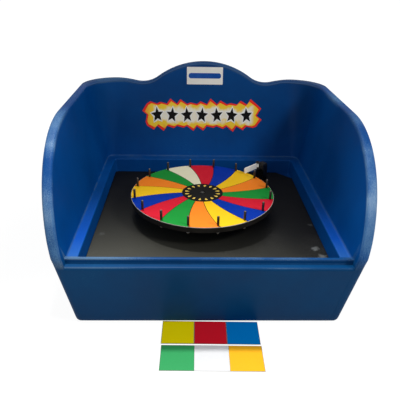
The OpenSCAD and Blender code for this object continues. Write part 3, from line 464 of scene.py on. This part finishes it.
DEEP_BLUE, SOFT_BLUE = (0.0003, 0.051, 0.222, 1), (0.001, 0.077, 0.312, 1)
SCUFF_BLUE, PALE_BLUE, GLINT_BLUE = (0.012, 0.16, 0.42, 1), (0.19, 0.39, 0.57, 1), (0.66, 0.76, 0.84, 1)
LEDGE_END_WEAR_AND_HIGHLIGHT, RIM_DUST, RIM_HIGHLIGHT = (0.050, 0.13, 0.27, 1), (0.030, 0.045, 0.030, 1), (0.050, 0.12, 0.30, 1)
DULL_TINT, OUTSIDE_TINT, LEDGE_LIGHT_TINT = (0.9, 0.86, 0.80, 1), (1.2, 0.77, 0.56, 1), (0.6, 1.12, 1.55, 1)
GRIME = (0.055, 0.115, 0.20, 1)
blue_moulding, tree, skin = finish_shader("blue_moulding")
tone = placed_group(tree, cloudy, {"Colour": DEEP_BLUE, "Pale": SOFT_BLUE, "Scale": 5.0, "Amount": 0.7})
rub_and_highlight_amount = shader_node(tree, "ShaderNodeAttribute", attribute_name="rub_and_highlight").outputs["Fac"]
marks = placed_group(tree, scuffed, {"Scale": 420.0, "Reach": 0.72}).outputs["Mask"]
faint_marks = placed_group(tree, scuffed, {"Scale": 160.0, "Reach": 0.14}).outputs["Mask"]
glints = placed_group(tree, scuffed, {"Scale": 900.0, "Reach": 0.42}).outputs["Mask"]
tub_x, tub_y, tub_z = shader_node(tree, "ShaderNodeSeparateXYZ", {"Vector": own_place(tree)}).outputs
sideways = maths(tree, "ABSOLUTE", tub_x)
inboard = both(tree, sideways, -1.0)
toward = both(tree, tub_y, -1.0)
below = both(tree, tub_z, -1.0)

# Hands have left faint marks everywhere. The edges are paler, from wear and a painted highlight, and bright
# specks high on the wings are painted glints.
surface = mixed(tree, both(tree, faint_marks, 0.3), tone.outputs["Colour"], SCUFF_BLUE)
surface = mixed(tree, both(tree, both(tree, rub_and_highlight_amount, marks), 0.5), surface, PALE_BLUE)
high_in_front = both(tree, past(tree, toward, 100, 80), past(tree, tub_z, 270, 50))
bright = both(tree, glints, ranged(tree, rub_and_highlight_amount, 0.86, 1.0, 0.0, 0.8))
surface = mixed(tree, both(tree, bright, high_in_front), surface, GLINT_BLUE)

# The front ends of the ledges are paler, from pale wear and a painted highlight. Their mask stops where the
# next surface begins.
on_top = both(tree, past(tree, tub_z, LEDGE_Z - 1), past(tree, sideways, 300))
on_top = both(tree, past(tree, below, -(LEDGE_Z + 2.4), 1.6), on_top)
inside = both(tree, past(tree, tub_y, LIP_BACK + 1.6), past(tree, inboard, -332.5))
on_ledge = both(tree, on_top, inside)
surface = mixed(tree, both(tree, on_ledge, past(tree, toward, 300, 70)), surface, LEDGE_END_WEAR_AND_HIGHLIGHT)

# The top of the back rim is dusty, and its inner edge carries a lighter line that is a painted highlight.
at_rear = both(tree, past(tree, tub_y, 275, 20), past(tree, tub_z, 400, 10))
dusty_top = both(tree, both(tree, at_rear, ranged(tree, rub_and_highlight_amount, 0.32, 0.52)), 0.25)
surface = mixed(tree, dusty_top, surface, RIM_DUST)
painted_rim_highlight = both(tree, both(tree, at_rear, ranged(tree, rub_and_highlight_amount, 0.65, 0.85)), 0.85)
surface = mixed(tree, painted_rim_highlight, surface, RIM_HIGHLIGHT)

# The flat outside walls are tinted a greener, darker blue and the upper back a duller one. The masks are
# planes and miss the outside bends of the two back corners, which keep the blue of the inside and some of the
# ledge's grime. Towards the front the ledges are tinted a brighter blue, which is painted light.
in_front = both(tree, past(tree, toward, 317.8, 1.5), past(tree, below, -195, 20))
at_side = past(tree, maths(tree, "MULTIPLY_ADD", tub_z, -LEAN, sideways), SIDE - 0.8)
at_back = past(tree, maths(tree, "MULTIPLY_ADD", tub_z, -LEAN, tub_y), BACK - 0.8)
outside = both(tree, in_front, both(tree, at_side, at_back, "MAXIMUM"), "MAXIMUM")
upper_back = both(tree, past(tree, tub_y, 300, 30), past(tree, tub_z, 260, 70))
tint = mixed(tree, upper_back, WHITE, DULL_TINT)
tint = mixed(tree, outside, tint, OUTSIDE_TINT)
# Painted light: the ledges get brighter towards the front.
tint = mixed(tree, both(tree, on_ledge, past(tree, toward, 100, 140)), tint, LEDGE_LIGHT_TINT)
surface = vector_maths(tree, "MULTIPLY", surface, tint).outputs[0]

# Grime lies along the back of the ledge and in the soft corner where the walls start.
in_cove = both(tree, past(tree, tub_z, LEDGE_Z - 0.6), past(tree, below, -(LEDGE_Z + 4.4), 2.5))
at_wall = both(tree, past(tree, tub_y, 330, 60), past(tree, tub_z, LEDGE_Z + 1.6, 1.2), "MAXIMUM")
smears = ranged(tree, noise(tree, own_place(tree), 22.0, 6.0, 0.7), 0.38, 0.62, 0.0, 0.75)
grime = both(tree, both(tree, in_cove, at_wall), both(tree, smears, past(tree, below, -(LEDGE_Z + 4.9))))
grime = both(tree, grime, both(tree, 1.0, outside, "SUBTRACT"))
tree.links.new(mixed(tree, grime, surface, GRIME), skin.inputs["Base Color"])
tree.links.new(ranged(tree, tone.outputs["Mask"], 0.0, 1.0, 0.38, 0.52), skin.inputs["Roughness"])
grained(tree, skin, noise(tree, own_place(tree), 420.0, 3.0), 0.12, 0.0006)
# Seen at a flat angle the plastic mirrors less than a clean one would.
facing = shader_node(tree, "ShaderNodeLayerWeight", {"Blend": 0.5}).outputs["Facing"]
skin.inputs["Specular IOR Level"].default_value = 0.06
tree.links.new(ranged(tree, facing, 0.3, 0.8, 0.09, 0.015), skin.inputs["Specular IOR Level"])
tub_shell.data.materials.clear()
tub_shell.data.materials.append(blue_moulding)
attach(tub_shell, "root")
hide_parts("tub")


# Floor board: a loose black hardboard panel that lies in the recess and carries the wheel.
# Its smooth face is paler towards the front left and lightly scratched, and one back corner is cut off to
# lift it by.
# Bare patches are given as x, y and reach in metres, and their edges wander by up to RAGGED.
BOARD_BLACK, BOARD_GREY = (0.0035, 0.0035, 0.0038, 1), (0.0065, 0.0065, 0.0065, 1)
FRONT_LEFT_PALE, SCRATCH, BARE_BOARD = (0.064, 0.063, 0.050, 1), (0.22, 0.21, 0.19, 1), (0.15, 0.155, 0.15, 1)
BARE_PATCHES = ((0.276, -0.204, 0.012), (0.284, -0.240, 0.013), (0.290, -0.252, 0.010),
                (0.288, -0.080, 0.007), (-0.280, -0.134, 0.010))
RAGGED = 0.012


def dress(node, material):
    """Give a CAD piece its finish."""
    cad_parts[node].data.materials.clear()
    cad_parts[node].data.materials.append(material)


black_board, tree, skin = finish_shader("black_board")
tone = placed_group(tree, cloudy, {"Colour": BOARD_BLACK, "Pale": BOARD_GREY, "Scale": 9.0, "Amount": 0.7})
place = own_place(tree)
# The board is paler and more olive towards the front left corner.
to_front_left = vector_maths(tree, "DOT_PRODUCT", place, (-0.45, -1.0, 0.0)).outputs["Value"]
front_left_share = maths(tree, "POWER", ranged(tree, to_front_left, -0.02, 0.38), 1.6)
surface = mixed(tree, front_left_share, tone.outputs["Colour"], FRONT_LEFT_PALE)
scratches = placed_group(tree, scuffed, {"Scale": 260.0, "Reach": 0.45}).outputs["Mask"]
surface = mixed(tree, both(tree, scratches, 0.1), surface, SCRATCH)
# The black has come off in a few ragged patches at the sides.
ragged = shader_node(tree, "ShaderNodeTexNoise", {"Vector": place, "Scale": 90.0, "Detail": 4.0})
wander = shader_node(tree, "ShaderNodeVectorMath", {0: ragged.outputs["Color"], 3: 2 * RAGGED},
                     operation="SCALE")
moved = vector_maths(tree, "ADD", place, wander.outputs[0]).outputs[0]
board_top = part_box("floor_board")[1].z
patches = 0.0
for x, y, reach in BARE_PATCHES:
    middle = (x + RAGGED, y + RAGGED, board_top + RAGGED)
    from_patch = vector_maths(tree, "DISTANCE", moved, middle).outputs["Value"]
    patches = both(tree, ranged(tree, from_patch, reach, reach * 0.4), patches, "MAXIMUM")
scraped = placed_group(tree, scuffed, {"Scale": 330.0, "Reach": 0.9}).outputs["Mask"]
tree.links.new(mixed(tree, both(tree, patches, scraped), surface, BARE_BOARD), skin.inputs["Base Color"])
skin.inputs["Roughness"].default_value = 0.5
skin.inputs["Specular IOR Level"].default_value = 0.10
grained(tree, skin, noise(tree, place, 900.0, 4.0), 0.25, 0.0005)
dress("floor_board", black_board)


# Axle, flanges and bearings: turned and plated steel, a black painted base flange screwed to the
# board, and an aluminium hub screwed under the disc. Only the axle's end shows from above.
def metal(name, colour, rough, scale, metallic=1.0):
    """A turned, plated or painted piece with fine marks and slightly uneven colour."""
    material, tree, skin = finish_shader(name)
    pale = [min(1, c * 1.35) for c in colour]
    tone = placed_group(tree, cloudy, {"Colour": (*colour, 1), "Pale": (*pale, 1),
                                       "Scale": scale, "Amount": 0.6})
    tree.links.new(tone.outputs["Colour"], skin.inputs["Base Color"])
    skin.inputs["Metallic"].default_value = metallic
    dull = ranged(tree, tone.outputs["Mask"], 0.0, 1.0, rough * 0.8, rough * 1.25)
    tree.links.new(dull, skin.inputs["Roughness"])
    grained(tree, skin, noise(tree, own_place(tree), scale * 18, 2.0), 0.15, 0.0002)
    return material


turned_steel = metal("turned_steel", (0.42, 0.42, 0.42), 0.32, 60.0)
dull_steel = metal("dull_steel", (0.07, 0.07, 0.066), 0.5, 60.0)
zinc_plate = metal("zinc_plate", (0.30, 0.28, 0.26), 0.42, 90.0)
turned_aluminium = metal("turned_aluminium", (0.60, 0.61, 0.62), 0.36, 50.0)
pressed_brass = metal("pressed_brass", (0.60, 0.42, 0.16), 0.35, 120.0)
black_paint = metal("black_paint", (0.020, 0.020, 0.022), 0.45, 80.0, metallic=0.0)
dress("axle", dull_steel)
for node in ("axle_washer", "bearing_inner_rings", "bearing_outer_rings", "bearing_balls", "bearing_spacer"):
    dress(node, turned_steel)
for node in ("axle_nut", "flange_screws", "hub_screws"):
    dress(node, zinc_plate)
dress("bearing_cages", pressed_brass)
dress("wheel_hub", turned_aluminium)
dress("base_flange", black_paint)


# Wheel: a disc of black painted plywood with a white sheet glued on it. The face is a gloss
# print: colour segments that bend back towards the rim, black lines and a black hub with drops.
def printed(name, colour, shade, rough=0.33, amount=0.35):
    """Gloss printed film with a slightly uneven ink and faint rub marks."""
    material, tree, skin = finish_shader(name)
    tone = placed_group(tree, cloudy, {"Colour": (*colour, 1), "Pale": (*shade, 1),
                                       "Scale": 26.0, "Amount": amount})
    rubs = placed_group(tree, scuffed, {"Scale": 210.0, "Reach": 0.12}).outputs["Mask"]
    ink = mixed(tree, both(tree, rubs, 0.05), tone.outputs["Colour"], (0.55, 0.55, 0.52, 1))
    tree.links.new(ink, skin.inputs["Base Color"])
    dull = ranged(tree, tone.outputs["Mask"], 0.0, 1.0, rough, rough + 0.12)
    tree.links.new(dull, skin.inputs["Roughness"])
    skin.inputs["Specular IOR Level"].default_value = 0.04
    return material


print_black = printed("print_black", (0.008, 0.008, 0.008), (0.014, 0.014, 0.014))
for node, ink, colour, shade in (
        ("red_segments", "print_red", (0.68, 0.014, 0.034), (0.58, 0.010, 0.025)),
        ("blue_segments", "print_blue", (0.0, 0.033, 0.36), (0.0, 0.027, 0.30)),
        ("yellow_segments", "print_yellow", (1.0, 0.60, 0.016), (0.90, 0.50, 0.010)),
        ("orange_segments", "print_orange", (1.0, 0.255, 0.022), (0.92, 0.21, 0.014)),
        ("green_segments", "print_green", (0.012, 0.29, 0.040), (0.008, 0.24, 0.033)),
        ("white_segment", "print_white", (0.90, 0.85, 0.60), (0.84, 0.79, 0.56)),
        ("hub_drops", "print_drop", (0.88, 0.60, 0.11), (0.80, 0.52, 0.08))):
    dress(node, printed(ink, colour, shade))
dress("line_film", print_black)
dress("hub_film", print_black)
dress("face_sheet", printed("sheet_white", (0.60, 0.57, 0.50), (0.46, 0.43, 0.37), 0.45))
black_plywood = metal("black_plywood", (0.0125, 0.0105, 0.008), 0.5, 40.0, metallic=0.0)
black_plywood.node_tree.nodes["Principled BSDF"].inputs["Specular IOR Level"].default_value = 0.2
dress("wheel_disc", black_plywood)


# Pegs: long zinc plated studs, threaded at the bottom, each through the disc with a washer and a
# nut under it. A dark plastic sleeve slips over each stud above the face, and its end is a dome.
PEG_COUNT, PEG_CIRCLE_R, FIRST_PEG, WHEEL_MIDDLE = 16, 0.1932, math.radians(100.45), (-0.010, 0, 0)
STUD_R, THREAD_R, THREAD_TURNS, SLEEVE_IN_R, SLEEVE_OUT_R = 2.4, 2.1, 9, 2.45, 3.4


def lathe(name, profile, steps=20):
    """A round piece turned from (radius, height) points in millimetres, solid or with a bore."""
    rim = [(r, z) for r, z in profile if r > 0]
    turns = [2 * math.pi * i / steps for i in range(steps)]
    verts = [(r * math.cos(a), r * math.sin(a), z) for r, z in rim for a in turns]
    last = (len(rim) - 1) * steps
    faces = []
    for low in range(0, last, steps):
        faces += [(low + i, low + (i + 1) % steps, low + steps + (i + 1) % steps, low + steps + i)
                  for i in range(steps)]
    if profile[0][0] == 0:
        faces += [tuple(range(steps)), tuple(range(last, last + steps))]
    else:
        faces += [(last + i, last + (i + 1) % steps, (i + 1) % steps, i) for i in range(steps)]
    return solid_from(name, verts, faces)


def ring_tree(name):
    """Geometry nodes that repeat the object's own mesh round a circle."""
    tree = bpy.data.node_groups.new(name, "GeometryNodeTree")
    for label, kind in (("Piece", "Geometry"), ("Count", "Int"), ("Circle radius", "Float"),
                        ("First direction", "Float"), ("Centre", "Vector"), ("Finish", "Material")):
        tree.interface.new_socket(label, in_out="INPUT", socket_type="NodeSocket" + kind)
    tree.interface.new_socket("Ring", in_out="OUTPUT", socket_type="NodeSocketGeometry")
    given, result = tree.nodes.new("NodeGroupInput").outputs, tree.nodes.new("NodeGroupOutput").inputs
    circle = shader_node(tree, "GeometryNodeMeshCircle", {"Vertices": given["Count"],
                                                          "Radius": given["Circle radius"]})
    facing = shader_node(tree, "ShaderNodeCombineXYZ", {"Z": given["First direction"]})
    placed = shader_node(tree, "GeometryNodeTransform", {"Geometry": circle.outputs["Mesh"],
                                                         "Rotation": facing.outputs[0],
                                                         "Translation": given["Centre"]})
    pieces = shader_node(tree, "GeometryNodeInstanceOnPoints", {"Points": placed.outputs[0],
                                                                "Instance": given["Piece"]})
    solid = shader_node(tree, "GeometryNodeRealizeInstances", {"Geometry": pieces.outputs[0]})
    done = shader_node(tree, "GeometryNodeSetMaterial", {"Geometry": solid.outputs[0],
                                                         "Material": given["Finish"]})
    tree.links.new(done.outputs[0], result["Ring"])
    return tree


def made_by(tree, piece, values):
    """Run a geometry node tree on a piece and keep the result as a plain mesh."""
    grow = piece.modifiers.new("grow", "NODES")
    grow.node_group = tree
    sockets = {s.name: s.identifier for s in tree.interface.items_tree if s.in_out == "INPUT"}
    for label, value in values.items():
        grow[sockets[label]] = value
    bpy.context.view_layer.update()
    result = bpy.data.meshes.new_from_object(piece.evaluated_get(bpy.context.evaluated_depsgraph_get()))
    piece.modifiers.clear()
    piece.data = result
    return piece


face_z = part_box("red_segments")[1].z / MM
stud_low, stud_high = (corner.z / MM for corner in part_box("peg_studs"))
sleeve_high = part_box("peg_sleeves")[1].z / MM
stud_profile = [(0, stud_low), (1.8, stud_low)]
for i in range(THREAD_TURNS):
    stud_profile += [(STUD_R, stud_low + 0.6 + i), (THREAD_R, stud_low + 1.1 + i)]
stud_profile += [(STUD_R, stud_low + 9.8), (STUD_R, stud_high - 1.3), (2.2, stud_high - 0.7),
                 (1.7, stud_high - 0.25), (0.8, stud_high), (0, stud_high)]
sleeve_profile = [(SLEEVE_IN_R, face_z), (SLEEVE_OUT_R - 0.25, face_z), (SLEEVE_OUT_R, face_z + 0.4),
                  (SLEEVE_OUT_R, sleeve_high - 0.5), (SLEEVE_OUT_R - 0.3, sleeve_high),
                  (SLEEVE_IN_R, sleeve_high)]
peg_ring = ring_tree("peg_ring")
aged_zinc = metal("aged_zinc", (0.15, 0.125, 0.10), 0.5, 90.0)
dark_sleeve = metal("dark_sleeve", (0.022, 0.013, 0.009), 0.38, 110.0, metallic=0.0)
for name, node, profile, finish, slot in (
        ("pegs", "peg_studs", stud_profile, aged_zinc, "zinc_steel"),
        ("sleeves", "peg_sleeves", sleeve_profile, dark_sleeve, "dark_sleeve")):
    ring = made_by(peg_ring, lathe(name, profile), {"Count": PEG_COUNT, "Circle radius": PEG_CIRCLE_R,
                                                    "Finish": finish, "First direction": FIRST_PEG,
                                                    "Centre": WHEEL_MIDDLE})
    smoothed(ring, 50)
    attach(ring, "wheel")
    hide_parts(node)
for node in ("peg_washers", "peg_nuts"):
    dress(node, metal("bright_" + node, (0.72, 0.72, 0.70), 0.4, 90.0))


# Clacker: a black post screwed up through the board, with a bent steel bracket. A white nylon
# flap swings on a pin between the bracket's ears, and a wound spring brings it back.
gloss_black = metal("gloss_black", (0.006, 0.006, 0.006), 0.3, 50.0, metallic=0.0)
nylon_white = printed("nylon_white", (1.0, 0.99, 0.93), (0.95, 0.93, 0.85), 0.4, 0.6)
black_oxide = metal("black_oxide", (0.035, 0.033, 0.032), 0.45, 90.0)
dress("clacker_post", gloss_black)
dress("flap_bracket", black_paint)
dress("flap", nylon_white)
for node in ("bracket_screws", "flap_pin", "flap_pin_nut", "flap_spring"):
    dress(node, black_oxide)
dress("post_screws", zinc_plate)


# Sign and label: cut vinyl in layers on the back wall, a red edge cut like flames, a panel that
# runs from yellow to orange, and black stars with a white edge. Above it a bare sticker with a bar.
PANEL_PALE, PANEL_YELLOW, PANEL_ORANGE = (0.96, 0.92, 0.74, 1), (1.0, 0.66, 0.012, 1), (1.0, 0.40, 0.010, 1)
panel_vinyl, tree, skin = finish_shader("panel_vinyl")
place = own_place(tree)
panel_x, _, panel_z = shader_node(tree, "ShaderNodeSeparateXYZ", {"Vector": place}).outputs
flicker = maths(tree, "MULTIPLY_ADD", noise(tree, place, 34.0, 2.0), 0.05, panel_z)
panel_low, panel_high = (corner.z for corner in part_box("sign_panel"))
from_middle = maths(tree, "ABSOLUTE", both(tree, flicker, (panel_low + panel_high) / 2 + 0.025, "SUBTRACT"))
near_end = both(tree, maths(tree, "ABSOLUTE", panel_x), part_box("sign_panel")[1].x - 0.046, "SUBTRACT")
outward = both(tree, from_middle, near_end, "MAXIMUM")
blend = mixed(tree, ranged(tree, outward, 0.017, 0.029), PANEL_PALE, PANEL_YELLOW)
blend = mixed(tree, ranged(tree, outward, 0.036, 0.052), blend, PANEL_ORANGE)
tree.links.new(blend, skin.inputs["Base Color"])
skin.inputs["Roughness"].default_value = 0.35
dress("sign_panel", panel_vinyl)
dress("sign_border", printed("border_vinyl", (1.0, 0.045, 0.028), (0.90, 0.035, 0.02)))
dress("sign_star_edges", printed("star_vinyl", (0.98, 0.98, 0.92), (0.92, 0.92, 0.86)))
dress("sign_stars", print_black)
dress("label", printed("label_paper", (0.94, 0.92, 0.84), (0.84, 0.82, 0.75), 0.4, 0.6))
dress("label_bar", printed("label_ink", (0.010, 0.075, 0.36), (0.03, 0.12, 0.44), 0.4, 0.7))


# Cards: two loose strips of printed paper sealed in plastic film, three colour squares on each.
# A thin line runs round every square. They lie on the table in front of the tub, a little askew.
SQUARE, SQUARES, ASKEW = 0.0774, 3, math.radians(0.9)
LINE_WIDTH, LINE_SOFT = 1.0, 0.2
PALE_LINE, DARK_LINE = (0.50, 0.49, 0.46, 1), (0.05, 0.05, 0.045, 1)


def card_ink(node, colour, line):
    """Printed and laminated paper with a thin line round the edge of the piece."""
    material = printed(node + "_ink", colour, tuple(c * 0.9 for c in colour), 0.3, 0.3)
    tree, skin = material.node_tree, material.node_tree.nodes["Principled BSDF"]
    low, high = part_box(node)
    length = SQUARE * SQUARES if node in ("front_card", "back_card") else SQUARE
    from_middle = vector_maths(tree, "SUBTRACT", own_place(tree), tuple((low + high) / 2)).outputs[0]
    straight = shader_node(tree, "ShaderNodeVectorRotate", {"Vector": from_middle, "Angle": ASKEW},
                           rotation_type="Z_AXIS").outputs[0]
    along, athwart, _ = shader_node(tree, "ShaderNodeSeparateXYZ", {"Vector": straight}).outputs
    past_end = both(tree, maths(tree, "ABSOLUTE", along), length / 2, "SUBTRACT")
    past_side = both(tree, maths(tree, "ABSOLUTE", athwart), SQUARE / 2, "SUBTRACT")
    on_line = past(tree, both(tree, past_end, past_side, "MAXIMUM"), -LINE_WIDTH, LINE_SOFT)
    ink = skin.inputs["Base Color"].links[0].from_socket
    tree.links.new(mixed(tree, on_line, ink, line), skin.inputs["Base Color"])
    skin.inputs["Coat Weight"].default_value = 0.25
    return material


for node, colour, line in (("front_card_green", (0.045, 0.375, 0.12), DARK_LINE),
                           ("front_card_amber", (1.0, 0.50, 0.019), DARK_LINE),
                           ("back_card_yellow", (1.0, 0.82, 0.0), DARK_LINE),
                           ("back_card_red", (0.74, 0.010, 0.025), DARK_LINE),
                           ("back_card_blue", (0.0, 0.21, 0.64), DARK_LINE),
                           ("front_card", (0.80, 0.80, 0.80), PALE_LINE),
                           ("back_card", (0.30, 0.30, 0.30), DARK_LINE)):
    dress(node, card_ink(node, colour, line))


# Studio: a white floor and surround, a spot lamp high behind the tub, aimed at the table in front
# of it, and three weak soft lamps. Floor and surround are white where the camera sees them, and
# light the object more dimly than that.
FLOOR_REACH = 14
SPOT_DEGREES, SPOT_BLEND = 46, 0.56
LAMPS = (("overhead", "SPOT", (-0.30, 0.52, 2.4), (-0.03, -1.18, 0), 0.10, 200),
         ("room", "AREA", (1.7, -1.2, 2.1), (0, 0.1, 0.2), 0.7, 32),
         ("behind", "AREA", (-0.4, 1.0, 2.4), (0, 0, 0.2), 1.0, 10),
         ("fill", "AREA", (-1.2, -2.1, 1.4), (0, 0, 0.2), 1.4, 9))


def seen_directly(tree):
    """1 for rays from the camera, also by way of a mirror or a clear piece, and 0 for the others."""
    rays = shader_node(tree, "ShaderNodeLightPath").outputs
    seen = both(tree, rays["Is Camera Ray"], rays["Is Glossy Ray"], "MAXIMUM")
    return both(tree, seen, rays["Is Transmission Ray"], "MAXIMUM")


floor = bpy.data.objects.new("floor", bpy.data.meshes.new("floor"))
floor_corners = [(x * FLOOR_REACH, y * FLOOR_REACH, 0) for x, y in ((-1, -1), (1, -1), (1, 1), (-1, 1))]
floor.data.from_pydata(floor_corners, [], [(0, 1, 2, 3)])
bpy.context.collection.objects.link(floor)
white_floor = bpy.data.materials.new("white_floor")
white_floor.use_nodes = True
tree = white_floor.node_tree
tree.nodes.clear()
matt = shader_node(tree, "ShaderNodeBsdfDiffuse", {"Color": (0.16, 0.16, 0.16, 1)})
plain = shader_node(tree, "ShaderNodeBsdfDiffuse", {"Color": (0.5, 0.5, 0.5, 1)})
from_tub = vector_maths(tree, "LENGTH", own_place(tree)).outputs["Value"]
whiteness = ranged(tree, from_tub, 0.6, 1.5, 0.93, 1.0)
glow = shader_node(tree, "ShaderNodeEmission", {"Color": WHITE, "Strength": whiteness})
lifted = shader_node(tree, "ShaderNodeAddShader", {0: matt.outputs[0], 1: glow.outputs[0]})
choice = shader_node(tree, "ShaderNodeMixShader", {0: seen_directly(tree), 1: plain.outputs[0],
                                                   2: lifted.outputs[0]})
shader_node(tree, "ShaderNodeOutputMaterial", {"Surface": choice.outputs[0]})
floor.data.materials.append(white_floor)

surround = bpy.data.worlds.new("surround")
bpy.context.scene.world = surround
surround.use_nodes = True
tree = surround.node_tree
tree.nodes.clear()
even = shader_node(tree, "ShaderNodeBackground", {"Color": (0.96, 0.98, 1.0, 1), "Strength": 0.24})
white = shader_node(tree, "ShaderNodeBackground", {"Color": WHITE, "Strength": 1.0})
choice = shader_node(tree, "ShaderNodeMixShader", {0: seen_directly(tree), 1: even.outputs[0],
                                                   2: white.outputs[0]})
shader_node(tree, "ShaderNodeOutputWorld", {"Surface": choice.outputs[0]})

for name, kind, at, aim, size, power in LAMPS:
    lamp = bpy.data.objects.new(name, bpy.data.lights.new(name, kind))
    lamp.data.energy = power
    if kind == "SPOT":
        lamp.data.shadow_soft_size = size
        lamp.data.spot_size = math.radians(SPOT_DEGREES)
        lamp.data.spot_blend = SPOT_BLEND
    else:
        lamp.data.shape = "DISK"
        lamp.data.size = size
    lamp.location = at
    lamp.rotation_euler = (Vector(at) - Vector(aim)).to_track_quat("Z", "Y").to_euler()
    bpy.context.collection.objects.link(lamp)
bpy.context.scene.view_settings.view_transform = "Standard"
